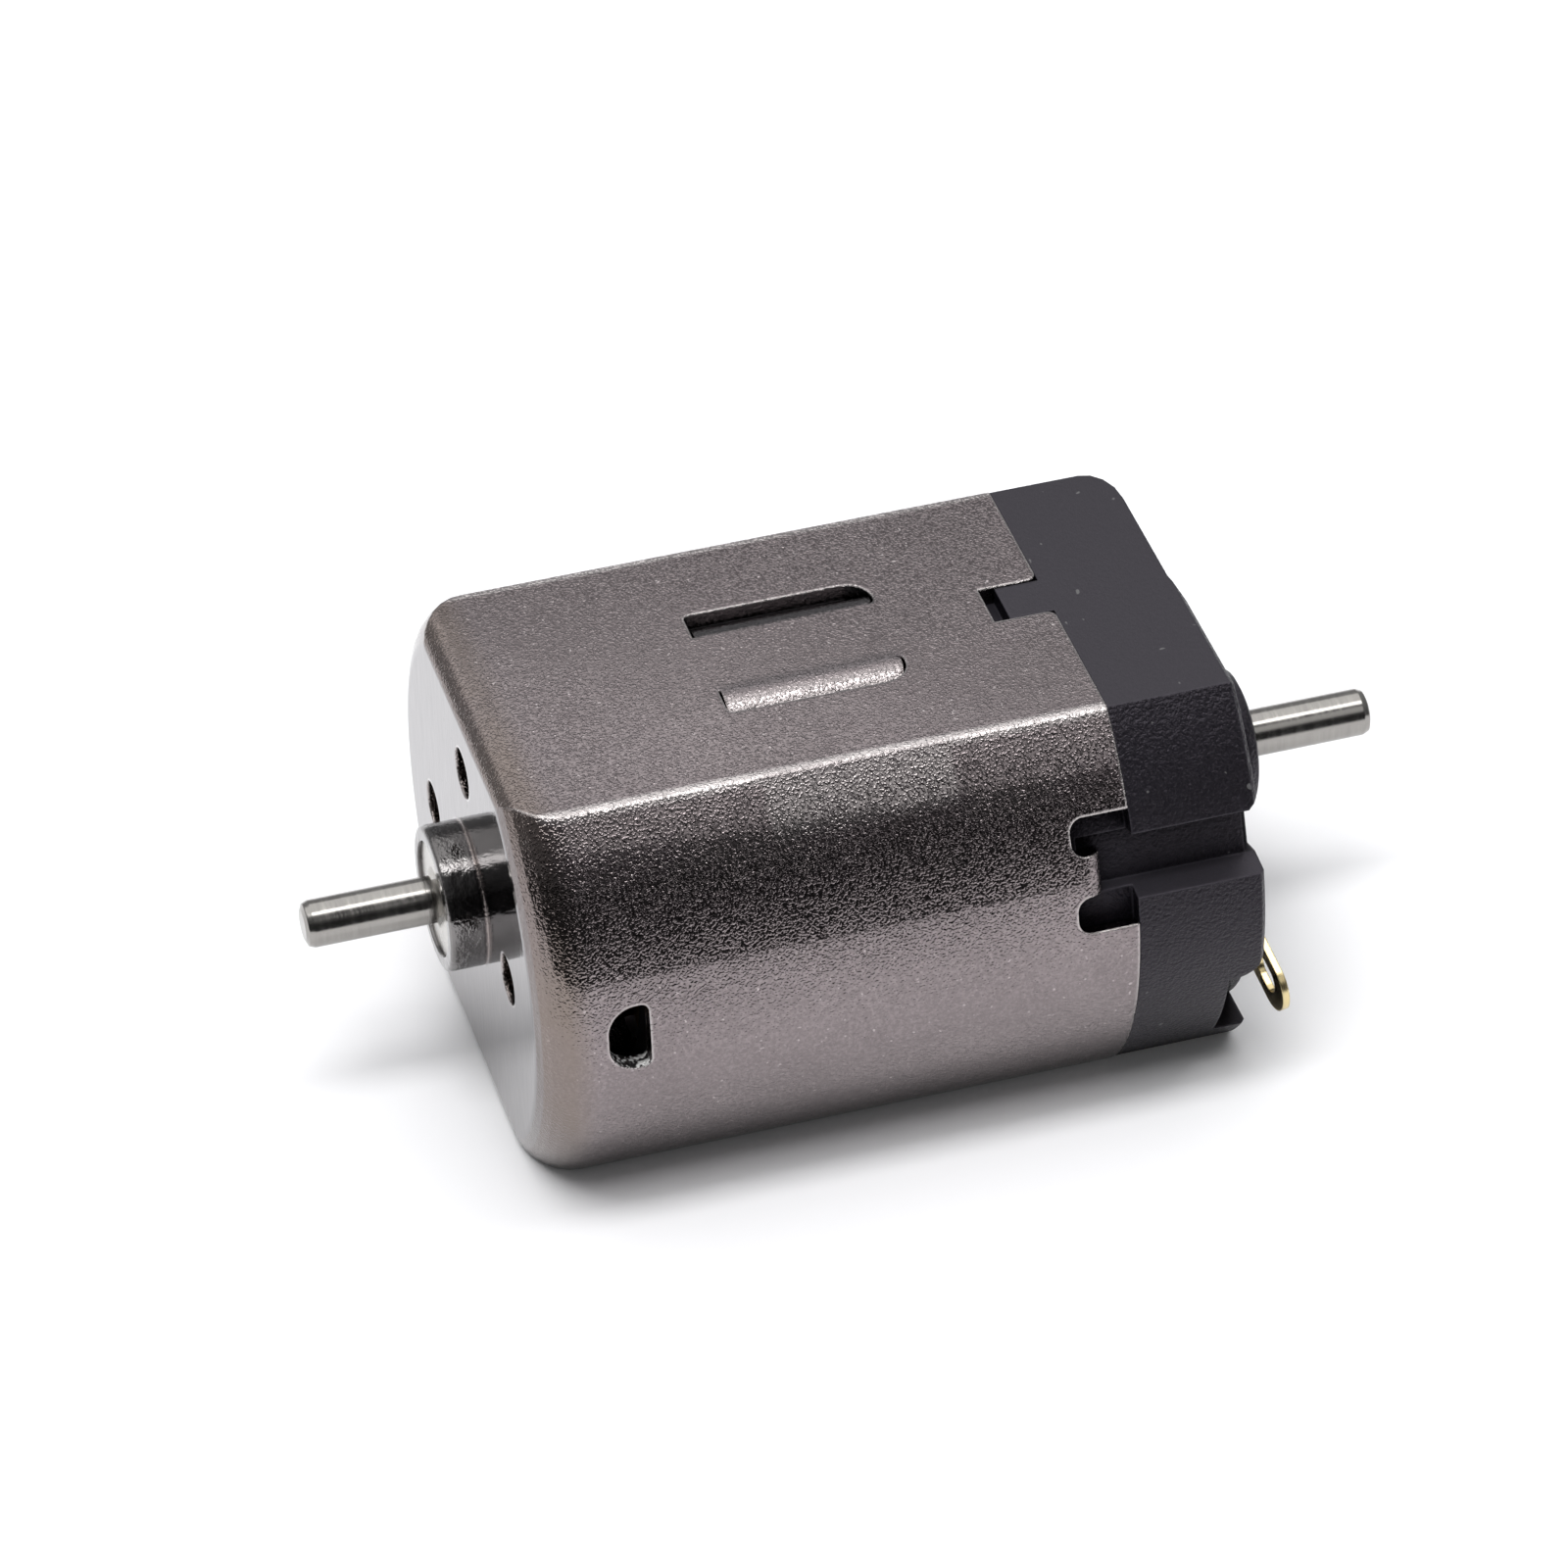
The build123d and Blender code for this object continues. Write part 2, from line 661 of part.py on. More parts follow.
save("can", make_can())
save("end_cap", make_end_cap())
save("front_bush", bush(BUSH_R, front_bush_y, front_bush_end))
save("rear_bush", bush(REAR_BUSH_R, rear_bush_end, rear_bush_y))
save_pair("terminal", make_terminal())
save_pair("magnet", make_magnet())
save("magnet_spring", make_magnet_spring())
save_pair("brush_arm", make_brush_arm())
save_pair("brush", make_brush())

save("shaft", make_shaft())
save("core", make_core())
save("core_insulator_front", carry(core_star(INSULATOR_INSET), insulator_front, core_front))
save("core_insulator_rear", carry(core_star(INSULATOR_INSET), core_rear, insulator_rear))
for letter, coil in zip("abc", make_coils()):
    save(f"coil_{letter}", coil)
save("commutator_hub", make_hub())
for letter, bar in zip("abc", make_bars()):
    save(f"commutator_bar_{letter}", bar)
save("commutator_ring", ring(RING_R, BAR_R, bar_rear - RING_LEN, bar_rear))
save("spacer_sleeve", ring(SLEEVE_R, SHAFT_R, sleeve_front, insulator_front))
save("thrust_washer_front", washer(front_washer_y))
save("thrust_washer_rear", washer(rear_washer_y))
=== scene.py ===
import json
import math

import bpy
from mathutils import Matrix, Vector


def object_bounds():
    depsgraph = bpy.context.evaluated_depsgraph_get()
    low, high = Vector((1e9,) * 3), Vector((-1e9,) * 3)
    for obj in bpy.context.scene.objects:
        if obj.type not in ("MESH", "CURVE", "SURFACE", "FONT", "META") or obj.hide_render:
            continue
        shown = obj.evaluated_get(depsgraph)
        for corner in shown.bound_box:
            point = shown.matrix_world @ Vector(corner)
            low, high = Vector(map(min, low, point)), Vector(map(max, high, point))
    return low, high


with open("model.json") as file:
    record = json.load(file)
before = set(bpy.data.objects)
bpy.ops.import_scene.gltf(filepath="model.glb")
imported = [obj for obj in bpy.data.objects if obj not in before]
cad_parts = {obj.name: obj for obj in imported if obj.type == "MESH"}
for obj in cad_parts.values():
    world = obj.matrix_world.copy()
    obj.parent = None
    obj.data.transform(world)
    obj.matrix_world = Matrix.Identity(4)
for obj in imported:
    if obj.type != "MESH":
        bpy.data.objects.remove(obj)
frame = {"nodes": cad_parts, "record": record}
nodes = frame["nodes"]
cad_low, cad_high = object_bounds()
floor_z = cad_low.z


# Camera at the photograph's viewing angle: degrees, metres, millimetres of lens
AZIMUTH, ELEVATION, ROLL = 75.045, 37.237, -2.203
TARGET = Vector((0.0, 0.014, 0.0))
DISTANCE = 0.33245
SHIFT_RIGHT, SHIFT_UP = 0.00052, -0.001719
LENS = 183.89
SENSOR = 36.0

# Places on the can, in metres; the front face is the plane y = 0
ROUND_R = cad_high.x
FLAT_Z = cad_high.z
NOSE_START, NOSE_END = 0.0012, 0.0022
BOSS_NEAR, BOSS_CLEAR = 0.0035, 0.0040
TONGUE_FRONT, TONGUE_BACK = 0.01045, 0.01825
TONGUE_HINGE, TONGUE_EDGE, TONGUE_LOW = 0.0019, 0.0035, 0.00725
VENT_FRONT, VENT_BACK = 0.00265, 0.00445
LIP_LOW, LIP_HIGH = -0.0013, -0.0004

# Tones of the can
PLATE_DARK, PLATE_PALE = (0.202, 0.174, 0.177, 1), (0.234, 0.202, 0.205, 1)
PLATE_FINE, PLATE_SPECK = (0.40, 0.35, 0.353, 1), (0.48, 0.43, 0.43, 1)
NOSE_WARM = (0.20, 0.163, 0.135, 1)
FACE_DARK, FACE_PALE, FACE_PIT = (0.155, 0.146, 0.150, 1), (0.25, 0.237, 0.242, 1), (0.12, 0.115, 0.115, 1)
BOSS_DARK, BOSS_PALE = (0.10, 0.095, 0.094, 1), (0.25, 0.24, 0.237, 1)
# Edge wear, and a painted highlight along the creases between flats and round sides
WORN_EDGE_AND_CREASE_HIGHLIGHT = (0.62, 0.58, 0.57, 1)
# Painted shade on the far tongue; painted highlight on the sunk face of the near tongue
FAR_TONGUE_SHADE, NEAR_TONGUE_HIGHLIGHT = (0.095, 0.090, 0.093, 1), (0.33, 0.30, 0.298, 1)
# Painted shade along the near tongue's hinge bend
NEAR_HINGE_SHADE = (0.15, 0.134, 0.138, 1)
# Painted shade in narrow gaps and inside the can
PAINTED_HOLLOW_SHADE = (0.05, 0.045, 0.042, 1)
# Painted glint and painted shade on the torn lower lip of the vents
LIP_PAINTED_SHADE, LIP_PAINTED_GLINT = (0.03, 0.028, 0.028, 1), (0.92, 0.91, 0.90, 1)

# Tones of the end cap
CAP_DARK, CAP_PALE = (0.0040, 0.0036, 0.0052, 1), (0.0070, 0.0064, 0.0088, 1)
CAP_TOP, CAP_EDGE = (0.020, 0.0185, 0.0225, 1), (0.035, 0.033, 0.040, 1)
CAP_DUST, CAP_SHEEN = (0.10, 0.10, 0.10, 1), (0.95, 0.86, 1.0, 1)

# Grain sizes (noise scale in object space), edge radii and relief depths in metres
SPARKLE, FINE, SPECK, PIT = 9000.0, 6500.0, 4200.0, 2600.0
DRAWN, TOOLED, RAGGED, CLOUD = 5200.0, 2400.0, 3000.0, 140.0
PLATE_GLOSS = 2500.0
CAP_GRAIN, CAP_CLOUD, CAP_DUST_GRAIN = 6200.0, 160.0, 2600.0
CAN_EDGE, CAP_EDGE_R, METAL_EDGE = 0.00020, 0.00015, 0.00008
CAN_RELIEF, CAP_RELIEF, METAL_RELIEF, SOLID_RELIEF = 0.000027, 0.00010, 0.000006, 0.00001

# Studio: dark card and dim room on the near side, pale floor
FLOOR_SIZE, FLOOR_GAP = 3.0, 0.00002
FLOOR_COLOUR, FLOOR_GLOW = (0.955, 0.955, 0.97, 1), 0.03
CARD_PLACE, CARD_SIZE = (0.085, -0.012, floor_z + 0.03), (0.6, 0.06, 1.0)
CARD_COLOUR = (0.015, 0.015, 0.015, 1)
NEAR_SIDE = (0.95, -0.10, -0.27)
ROOM_COLOUR, ROOM_PALE, ROOM_DIM = (0.97, 0.98, 1.0, 1), 0.40, 0.012


def add_camera():
    a, e, roll = (math.radians(v) for v in (AZIMUTH, ELEVATION, ROLL))
    back = Vector((math.sin(a) * math.cos(e), -math.cos(a) * math.cos(e), math.sin(e)))
    flat_right = Vector((math.cos(a), math.sin(a), 0.0))
    flat_up = back.cross(flat_right)
    right = math.cos(roll) * flat_right + math.sin(roll) * flat_up
    up = -math.sin(roll) * flat_right + math.cos(roll) * flat_up
    place = TARGET - SHIFT_RIGHT * right - SHIFT_UP * up + DISTANCE * back
    data = bpy.data.cameras.new("camera")
    data.sensor_width = SENSOR
    data.lens = LENS
    data.clip_start = 0.01
    data.clip_end = 10.0
    camera = bpy.data.objects.new("camera", data)
    turn = Matrix((right, up, back)).transposed().to_4x4()
    camera.matrix_world = Matrix.Translation(place) @ turn
    bpy.context.scene.collection.objects.link(camera)
    bpy.context.scene.camera = camera


add_camera()
bpy.context.scene.view_settings.view_transform = "Standard"


# Node helpers
def new_material(name):
    mat = bpy.data.materials.new(name)
    mat.use_nodes = True
    tree = mat.node_tree
    tree.nodes.clear()
    out = tree.nodes.new("ShaderNodeOutputMaterial")
    bsdf = tree.nodes.new("ShaderNodeBsdfPrincipled")
    tree.links.new(bsdf.outputs[0], out.inputs[0])
    return mat, tree, bsdf


def feed(tree, socket, value):
    """Links another node's output to a socket, or sets a constant on it."""
    if isinstance(value, bpy.types.NodeSocket):
        tree.links.new(value, socket)
    else:
        socket.default_value = value


def add(tree, kind, inputs=None, **props):
    node = tree.nodes.new(kind)
    for key, value in props.items():
        setattr(node, key, value)
    for key, value in (inputs or {}).items():
        feed(tree, node.inputs[key], value)
    return node


def coords(tree, scale=(1, 1, 1)):
    tex = add(tree, "ShaderNodeTexCoord")
    mapping = add(tree, "ShaderNodeMapping", {"Vector": tex.outputs["Object"], "Scale": scale})
    return mapping.outputs[0]


def noise(tree, vector, scale, detail=2.0, rough=0.5):
    inputs = {"Vector": vector, "Scale": scale, "Detail": detail, "Roughness": rough}
    return add(tree, "ShaderNodeTexNoise", inputs).outputs[0]


def ramp(tree, value, low, high, out_low=0.0, out_high=1.0):
    inputs = {"Value": value, "From Min": low, "From Max": high, "To Min": out_low, "To Max": out_high}
    return add(tree, "ShaderNodeMapRange", inputs).outputs[0]


def fade(tree, mask, off, on):
    """A value that goes from off to on with a mask."""
    return ramp(tree, mask, 0.0, 1.0, off, on)


def window(tree, value, low, high, soft):
    """1 between low and high, with soft ends."""
    rise = ramp(tree, value, low - soft, low + soft)
    return times(tree, rise, ramp(tree, value, high + soft, high - soft))


def math_node(tree, operation, a, b=0.0):
    return add(tree, "ShaderNodeMath", {0: a, 1: b}, operation=operation).outputs[0]


def times(tree, a, b):
    return math_node(tree, "MULTIPLY", a, b)


def larger(tree, a, b):
    return math_node(tree, "MAXIMUM", a, b)


def vector_value(tree, operation, inputs):
    return add(tree, "ShaderNodeVectorMath", inputs, operation=operation).outputs["Value"]


def mix(tree, factor, a, b):
    node = add(tree, "ShaderNodeMix", data_type="RGBA")
    for index, value in ((0, factor), (6, a), (7, b)):
        feed(tree, node.inputs[index], value)
    return node.outputs[2]


def separate(tree, vector):
    return add(tree, "ShaderNodeSeparateXYZ", {0: vector}).outputs


def true_normal(tree):
    return add(tree, "ShaderNodeNewGeometry").outputs["Normal"]


def soft_normal(tree, radius):
    return add(tree, "ShaderNodeBevel", {"Radius": radius}, samples=6).outputs[0]


def open_sky(tree, distance):
    """1 on open faces, falling to 0 in narrow gaps."""
    return add(tree, "ShaderNodeAmbientOcclusion", {"Distance": distance}, samples=8).outputs["AO"]


def bump(tree, height, distance, normal=None):
    inputs = {"Height": height, "Strength": 1.0, "Distance": distance}
    if normal is not None:
        inputs["Normal"] = normal
    return add(tree, "ShaderNodeBump", inputs).outputs[0]


# Masks: 1 on the named place, 0 elsewhere
def edge_mask(tree, rounded):
    """Edges that wear bright."""
    dot = vector_value(tree, "DOT_PRODUCT", {0: rounded, 1: true_normal(tree)})
    return ramp(tree, dot, 0.985, 0.90)


def axis_reach(tree, pos):
    """Distance from the shaft axis."""
    x, _, z = separate(tree, pos)
    flat = add(tree, "ShaderNodeCombineXYZ", {0: x, 2: z}).outputs[0]
    return vector_value(tree, "LENGTH", {0: flat})


def crease_highlight_mask(tree, pos, reach):
    """The four creases between the flats and the round sides, where a highlight is painted."""
    height = math_node(tree, "ABSOLUTE", separate(tree, pos)[2])
    high = ramp(tree, height, FLAT_Z - 0.00030, FLAT_Z - 0.00007)
    return times(tree, high, ramp(tree, reach, ROUND_R - 0.00026, ROUND_R - 0.00013))


def turned_masks(tree, pos):
    """The pressed front face with its boss, and the boss alone."""
    y = separate(tree, pos)[1]
    facing = separate(tree, true_normal(tree))[1]
    face = times(tree, ramp(tree, facing, -0.90, -0.99), ramp(tree, y, 0.0006, 0.0002))
    boss = ramp(tree, y, -0.00005, -0.0002)
    return larger(tree, face, boss), boss


def tongue_masks(tree, pos):
    """The pressed tongues: all of the far one, hinge and sunk face of the near one, with painted shade on the
    far one and the near hinge and a painted highlight on the near sunk face.
    """
    x, y, z = separate(tree, pos)
    along = window(tree, y, TONGUE_FRONT, TONGUE_BACK, 0.00015)
    below_top = ramp(tree, z, FLAT_Z - 0.00001, FLAT_Z - 0.00006)
    above_inside = ramp(tree, z, TONGUE_LOW - 0.00025, TONGUE_LOW + 0.00025)

    hinge_side = ramp(tree, x, 0.0001 - TONGUE_HINGE, -0.0001 - TONGUE_HINGE)
    strip = times(tree, hinge_side, ramp(tree, x, 0.00001 - TONGUE_EDGE, 0.00006 - TONGUE_EDGE))
    bent = larger(tree, ramp(tree, x, -0.0007 - TONGUE_HINGE, -0.0005 - TONGUE_HINGE), below_top)
    far = times(tree, times(tree, along, strip), times(tree, bent, above_inside))

    sunk = times(tree, along, times(tree, below_top, above_inside))
    near = times(tree, sunk, ramp(tree, x, TONGUE_HINGE + 0.0003, TONGUE_HINGE + 0.0007))
    rise = ramp(tree, x, TONGUE_HINGE - 0.0006, TONGUE_HINGE)
    fold = times(tree, rise, ramp(tree, x, TONGUE_HINGE + 0.0005, TONGUE_HINGE + 0.0001))
    top = ramp(tree, z, FLAT_Z - 0.00035, FLAT_Z - 0.00015)
    return far, times(tree, times(tree, along, fold), top), near


def burr_mask(tree, pos):
    """The torn lower lip of the side vents, with a painted glint and painted shade on it."""
    _, y, z = separate(tree, pos)
    up = separate(tree, true_normal(tree))[2]
    place = times(
        tree,
        window(tree, y, VENT_FRONT, VENT_BACK, 0.00005),
        window(tree, z, LIP_LOW, LIP_HIGH, 0.0001),
    )
    return times(tree, place, ramp(tree, up, 0.3, 0.6))


def hollow_shade_mask(tree):
    """Painted shade deep in slots and inside the can, but not on cut walls that face up."""
    up = separate(tree, true_normal(tree))[2]
    return times(tree, ramp(tree, open_sky(tree, 0.002), 0.48, 0.16), ramp(tree, up, 0.2, 0.6, 1.0, 0.15))


def can_places(tree, pos, rounded):
    """All masks of the can by name."""
    reach = axis_reach(tree, pos)
    smooth, boss = turned_masks(tree, pos)
    far_tongue_shade, near_hinge_shade, near_tongue_highlight = tongue_masks(tree, pos)
    worn_and_crease_highlight = larger(tree, edge_mask(tree, rounded), crease_highlight_mask(tree, pos, reach))
    return {
        "smooth": smooth,
        "boss": boss,
        "nose": ramp(tree, separate(tree, pos)[1], NOSE_END, NOSE_START),
        "worn_and_crease_highlight": times(tree, worn_and_crease_highlight, ramp(tree, reach, BOSS_NEAR, BOSS_CLEAR, 0.22, 1.0)),
        "far_tongue_shade": far_tongue_shade,
        "near_hinge_shade": near_hinge_shade,
        "near_tongue_highlight": near_tongue_highlight,
        "hollow_shade": hollow_shade_mask(tree),
        "burr": burr_mask(tree, pos),
    }


# Materials
def can_grain(tree, pos):
    """Noises that colour and relief share."""
    return {
        "cloud": noise(tree, pos, CLOUD, 3.0, 0.6),
        "drawn": noise(tree, coords(tree, (1.0, 1.0, 0.08)), DRAWN, 3.0, 0.6),
        "ragged": noise(tree, pos, RAGGED, 2.0, 0.6),
    }


def can_colour(tree, pos, place, grain):
    """Clouded plate with fine sparkle, then each place on the can in its own tone, with painted shade on the
    far tongue, near hinge and hollows and painted highlights on the near tongue, creases and vent lip.
    """
    clouding = ramp(tree, grain["cloud"], 0.35, 0.65)
    fine = ramp(tree, noise(tree, pos, FINE, 2.0, 0.6), 0.42, 0.72, 0.0, 0.45)
    speck = ramp(tree, noise(tree, pos, SPECK, 1.0, 0.4), 0.73, 0.78)
    pit = ramp(tree, noise(tree, pos, PIT, 1.0, 0.4), 0.73, 0.76)
    face = mix(tree, ramp(tree, grain["drawn"], 0.3, 0.7), FACE_DARK, FACE_PALE)
    layers = (
        (speck, PLATE_SPECK),
        (fine, PLATE_FINE),
        (times(tree, place["nose"], grain["cloud"]), NOSE_WARM),
        (place["smooth"], mix(tree, pit, face, FACE_PIT)),
        (place["boss"], mix(tree, clouding, BOSS_DARK, BOSS_PALE)),
        # edge wear plus a painted crease highlight
        (times(tree, place["worn_and_crease_highlight"], ramp(tree, grain["cloud"], 0.3, 0.6, 0.55, 1.0)), WORN_EDGE_AND_CREASE_HIGHLIGHT),
        # painted shade on the far tongue
        (place["far_tongue_shade"], FAR_TONGUE_SHADE),
        # painted highlight on the sunk face of the near tongue
        (place["near_tongue_highlight"], NEAR_TONGUE_HIGHLIGHT),
        # painted shade at the near tongue's hinge
        (place["near_hinge_shade"], NEAR_HINGE_SHADE),
        # painted shade in gaps and inside the can
        (place["hollow_shade"], PAINTED_HOLLOW_SHADE),
        # painted glint and shade on the vent lip
        (place["burr"], mix(tree, ramp(tree, grain["ragged"], 0.48, 0.58), LIP_PAINTED_SHADE, LIP_PAINTED_GLINT)),
    )
    base = mix(tree, clouding, PLATE_DARK, PLATE_PALE)
    for mask, colour in layers:
        base = mix(tree, mask, base, colour)
    return base


def can_relief(tree, pos, place, grain):
    """Sparkle on the plate, draw lines on the face, tool marks on the boss, a torn vent lip."""
    sparkle = ramp(tree, noise(tree, pos, SPARKLE, 1.0, 0.5), 0.45, 0.85)
    grained = times(tree, fade(tree, place["smooth"], 1.0, 0.03), fade(tree, place["nose"], 1.0, 0.66))
    height = times(tree, sparkle, grained)
    for pattern, mask, depth in (
        (grain["drawn"], place["smooth"], 0.12),
        (noise(tree, pos, TOOLED, 3.0, 0.6), place["boss"], 1.3),
        (grain["ragged"], place["burr"], 10.0),
    ):
        height = math_node(tree, "ADD", height, times(tree, pattern, fade(tree, mask, 0.0, depth)))
    return height


def can_material():
    """Dark nickel plate on drawn sheet."""
    mat, tree, bsdf = new_material("can_plate")
    pos = coords(tree)
    rounded = soft_normal(tree, CAN_EDGE)
    place = can_places(tree, pos, rounded)
    grain = can_grain(tree, pos)
    gloss = ramp(tree, noise(tree, pos, PLATE_GLOSS, 2.0, 0.5), 0.3, 0.7, 0.065, 0.095)
    gloss = times(tree, gloss, fade(tree, place["smooth"], 1.0, 0.6))
    feed(tree, bsdf.inputs["Base Color"], can_colour(tree, pos, place, grain))
    # The vent lip is made less metallic so that its painted glint shows in diffuse light.
    feed(tree, bsdf.inputs["Metallic"], fade(tree, place["burr"], 1.0, 0.3))
    feed(tree, bsdf.inputs["Roughness"], math_node(tree, "ADD", gloss, fade(tree, place["boss"], 0.0, 0.035)))
    feed(tree, bsdf.inputs["Normal"], bump(tree, can_relief(tree, pos, place, grain), CAN_RELIEF, rounded))
    return mat


def cap_material():
    """Black moulding: eroded grain on the round sides, smoother flats, a little dust, and less shine in
    narrow gaps as painted shade.
    """
    mat, tree, bsdf = new_material("cap_moulding")
    pos = coords(tree)
    rounded = soft_normal(tree, CAP_EDGE_R)
    up = separate(tree, true_normal(tree))[2]
    grain = noise(tree, pos, CAP_GRAIN, 2.0, 0.6)
    clouding = ramp(tree, noise(tree, pos, CAP_CLOUD, 3.0, 0.6), 0.35, 0.7)
    dust = ramp(tree, noise(tree, pos, CAP_DUST_GRAIN, 0.0, 0.4), 0.84, 0.86)
    base = mix(tree, clouding, CAP_DARK, CAP_PALE)
    base = mix(tree, ramp(tree, up, 0.8, 0.95), base, CAP_TOP)
    base = mix(tree, dust, base, CAP_DUST)
    base = mix(tree, edge_mask(tree, rounded), base, CAP_EDGE)
    depth = times(tree, grain, ramp(tree, up, 0.8, 0.95, 1.0, 0.15))
    # Less specular shine in narrow gaps: painted shade on reflections.
    gap_shaded_shine = ramp(tree, open_sky(tree, 0.0015), 0.45, 0.92, 0.06, 0.40)
    feed(tree, bsdf.inputs["Base Color"], base)
    feed(tree, bsdf.inputs["Roughness"], ramp(tree, grain, 0.3, 0.7, 0.31, 0.43))
    feed(tree, bsdf.inputs["Specular IOR Level"], gap_shaded_shine)
    feed(tree, bsdf.inputs["Specular Tint"], CAP_SHEEN)
    feed(tree, bsdf.inputs["Normal"], bump(tree, depth, CAP_RELIEF, rounded))
    return mat


def two_tone(tree, pattern, colour, dark):
    """A colour and a darker share of it, by a noise pattern."""
    return mix(tree, ramp(tree, pattern, 0.3, 0.7), [c * dark for c in colour] + [1], list(colour) + [1])


def metal_material(name, colour, rough, line_scale=2600.0, spread=0.06):
    """Metal with fine lines round the shaft axis."""
    mat, tree, bsdf = new_material(name)
    lines = noise(tree, coords(tree, (0.12, 1.0, 0.12)), line_scale, 2.0, 0.6)
    feed(tree, bsdf.inputs["Base Color"], two_tone(tree, lines, colour, 0.85))
    feed(tree, bsdf.inputs["Metallic"], 1.0)
    feed(tree, bsdf.inputs["Roughness"], ramp(tree, lines, 0.3, 0.7, rough - spread, rough + spread))
    feed(tree, bsdf.inputs["Normal"], bump(tree, lines, METAL_RELIEF, soft_normal(tree, METAL_EDGE)))
    return mat


def solid_material(name, colour, rough, scale=2400.0, spread=0.06):
    """Plain moulded or pressed stuff with faint clouding."""
    mat, tree, bsdf = new_material(name)
    cloud = noise(tree, coords(tree), scale, 3.0, 0.6)
    feed(tree, bsdf.inputs["Base Color"], two_tone(tree, cloud, colour, 0.75))
    feed(tree, bsdf.inputs["Roughness"], ramp(tree, cloud, 0.3, 0.7, rough - spread, rough + spread))
    feed(tree, bsdf.inputs["Normal"], bump(tree, cloud, SOLID_RELIEF))
    return mat


FINISH = {
    "can_steel": can_material(),
    "cap_plastic": cap_material(),
    "bush_bronze": metal_material("bush_face", (0.62, 0.60, 0.57), 0.28),
    "terminal_brass": metal_material("lug_brass", (0.80, 0.66, 0.36), 0.27),
    "magnet_ferrite": solid_material("magnet_ferrite", (0.10, 0.10, 0.11), 0.6),
    "spring_steel": metal_material("spring_strip", (0.55, 0.55, 0.56), 0.3),
    "arm_copper": metal_material("arm_strip", (0.80, 0.50, 0.33), 0.3),
    "brush_carbon": solid_material("brush_carbon", (0.05, 0.05, 0.055), 0.5),
    "shaft_steel": metal_material("shaft_ground", (0.36, 0.346, 0.327), 0.19, line_scale=5200.0),
    "core_steel": metal_material("core_sheets", (0.36, 0.36, 0.37), 0.4, line_scale=1800.0),
    "insulator_plastic": solid_material("insulator", (0.55, 0.40, 0.25), 0.5),
    "coil_wire": metal_material("coil_wire", (0.62, 0.25, 0.10), 0.3, line_scale=900.0),
    "hub_plastic": solid_material("hub_moulding", (0.10, 0.06, 0.05), 0.5),
    "bar_copper": metal_material("bar_copper", (0.80, 0.46, 0.32), 0.25),
    "sleeve_plastic": solid_material("sleeve", (0.75, 0.75, 0.72), 0.5),
    "washer_plastic": solid_material("washer", (0.65, 0.60, 0.50), 0.5),
}

for part in frame["record"]["subparts"]:
    mesh = nodes[part["node"]].data
    mesh.materials.clear()
    mesh.materials.append(FINISH[part["material_slot"]])


# Floor, light and background
def matte_material(name, colour):
    mat, tree, bsdf = new_material(name)
    bsdf.inputs["Base Color"].default_value = colour
    bsdf.inputs["Roughness"].default_value = 0.9
    return mat, tree, bsdf


def add_floor():
    """Pale floor that keeps its shadows and shows white, also in mirrors and glass."""
    bpy.ops.mesh.primitive_plane_add(size=FLOOR_SIZE, location=(0, 0, floor_z - FLOOR_GAP))
    floor = bpy.context.active_object
    floor.name = "floor"
    mat, tree, bsdf = matte_material("floor_white", FLOOR_COLOUR)
    bsdf.inputs["Specular IOR Level"].default_value = 0.1
    path = tree.nodes.new("ShaderNodeLightPath").outputs
    seen = larger(tree, path["Is Camera Ray"], path["Is Glossy Ray"])
    seen = larger(tree, seen, path["Is Transmission Ray"])
    bsdf.inputs["Emission Color"].default_value = (1, 1, 1, 1)
    feed(tree, bsdf.inputs["Emission Strength"], fade(tree, seen, 0.0, FLOOR_GLOW))
    floor.data.materials.append(mat)


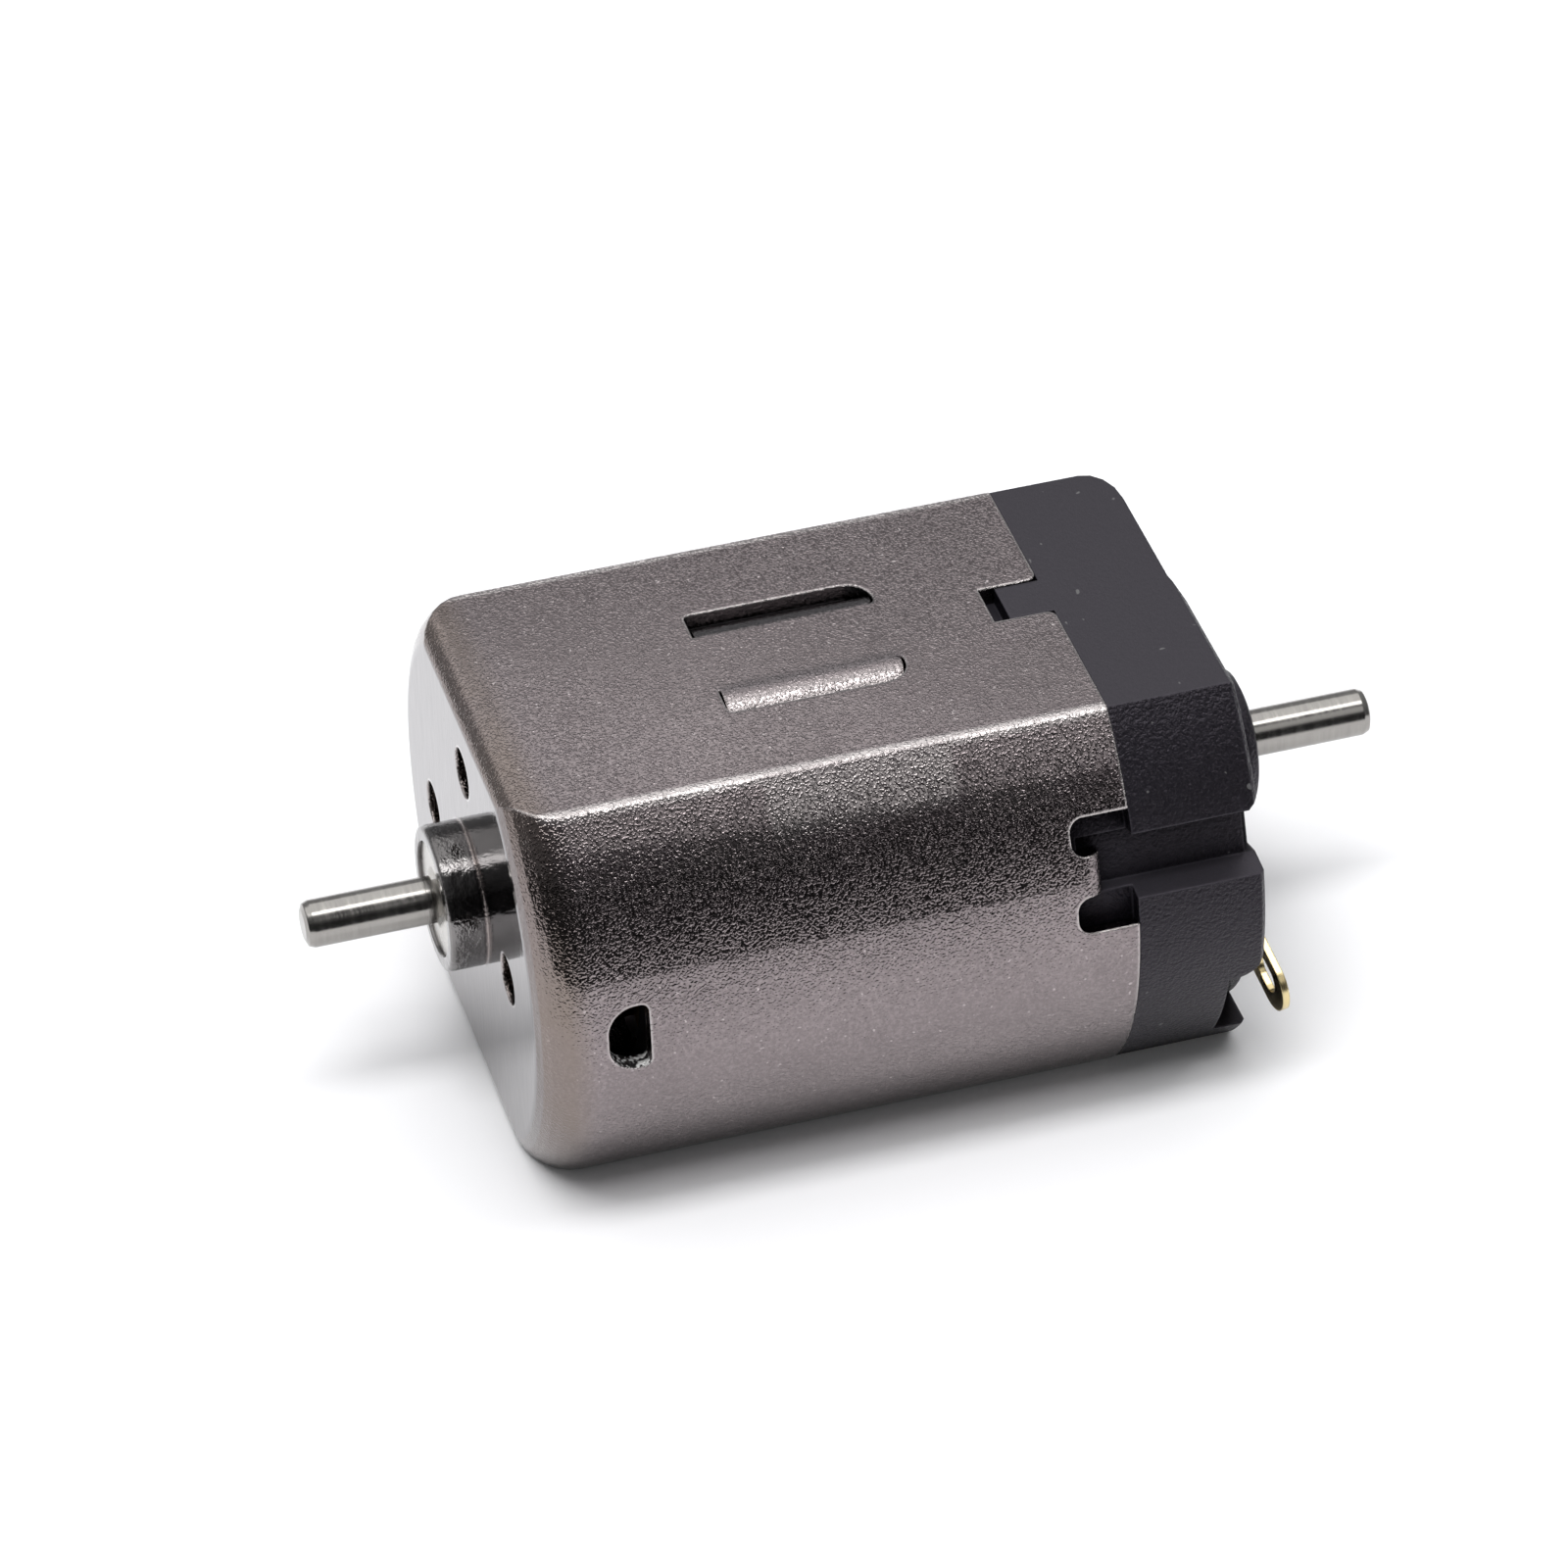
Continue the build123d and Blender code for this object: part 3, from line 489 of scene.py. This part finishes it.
def add_flag():
    """Dark card on the near side, seen only in reflections."""
    turn = (math.pi / 2, 0, math.radians(AZIMUTH))
    bpy.ops.mesh.primitive_plane_add(size=1.0, location=CARD_PLACE, rotation=turn)
    flag = bpy.context.active_object
    flag.name = "near_flag"
    flag.scale = CARD_SIZE
    flag.visible_camera = False
    flag.visible_shadow = False
    flag.visible_diffuse = False
    flag.data.materials.append(matte_material("flag_black", CARD_COLOUR)[0])


def add_area(name, place, aim, size, power, length=None):
    """Round soft lamp, or a strip along Y when a length is given."""
    data = bpy.data.lights.new(name, "AREA")
    data.shape = "RECTANGLE" if length else "DISK"
    data.size = size
    data.size_y = length or size
    data.energy = power
    light = bpy.data.objects.new(name, data)
    light.location = place
    light.rotation_euler = (Vector(aim) - Vector(place)).to_track_quat("-Z", "Y").to_euler()
    bpy.context.scene.collection.objects.link(light)
    return light


def add_lamps():
    """Two lamps overhead, a glint on metal from behind, and a fill on matte faces."""
    add_area("top_soft", (-0.185, 0.0, 0.36), aim=(-0.185, 0.01, 0), size=0.62, power=0.95)
    add_area("top_key", (0.05, 0.03, 0.365), aim=(0.05, 0.03, 0), size=0.08, power=0.55, length=0.50)
    glint = add_area("rear_key", (0.205, 0.128, 0.235), aim=(0.0, 0.02, 0), size=0.15, power=0.036)
    glint.visible_diffuse = False
    fill = add_area("near_fill", (0.105, -0.05, 0.35), aim=(0.0, 0.01, 0), size=0.20, power=0.60)
    fill.visible_glossy = False


def add_world():
    """Studio room: pale on the far side, dim on the near side."""
    world = bpy.data.worlds.new("studio")
    bpy.context.scene.world = world
    world.use_nodes = True
    tree = world.node_tree
    tree.nodes.clear()
    out = tree.nodes.new("ShaderNodeOutputWorld")
    way = add(tree, "ShaderNodeTexCoord").outputs["Generated"]
    nearness = vector_value(tree, "DOT_PRODUCT", {0: way, 1: NEAR_SIDE})
    level = ramp(tree, nearness, -0.6, 0.85, ROOM_PALE, ROOM_DIM)
    room = add(tree, "ShaderNodeBackground", {"Color": ROOM_COLOUR, "Strength": level})
    tree.links.new(room.outputs[0], out.inputs[0])


add_floor()
add_flag()
add_world()
add_lamps()
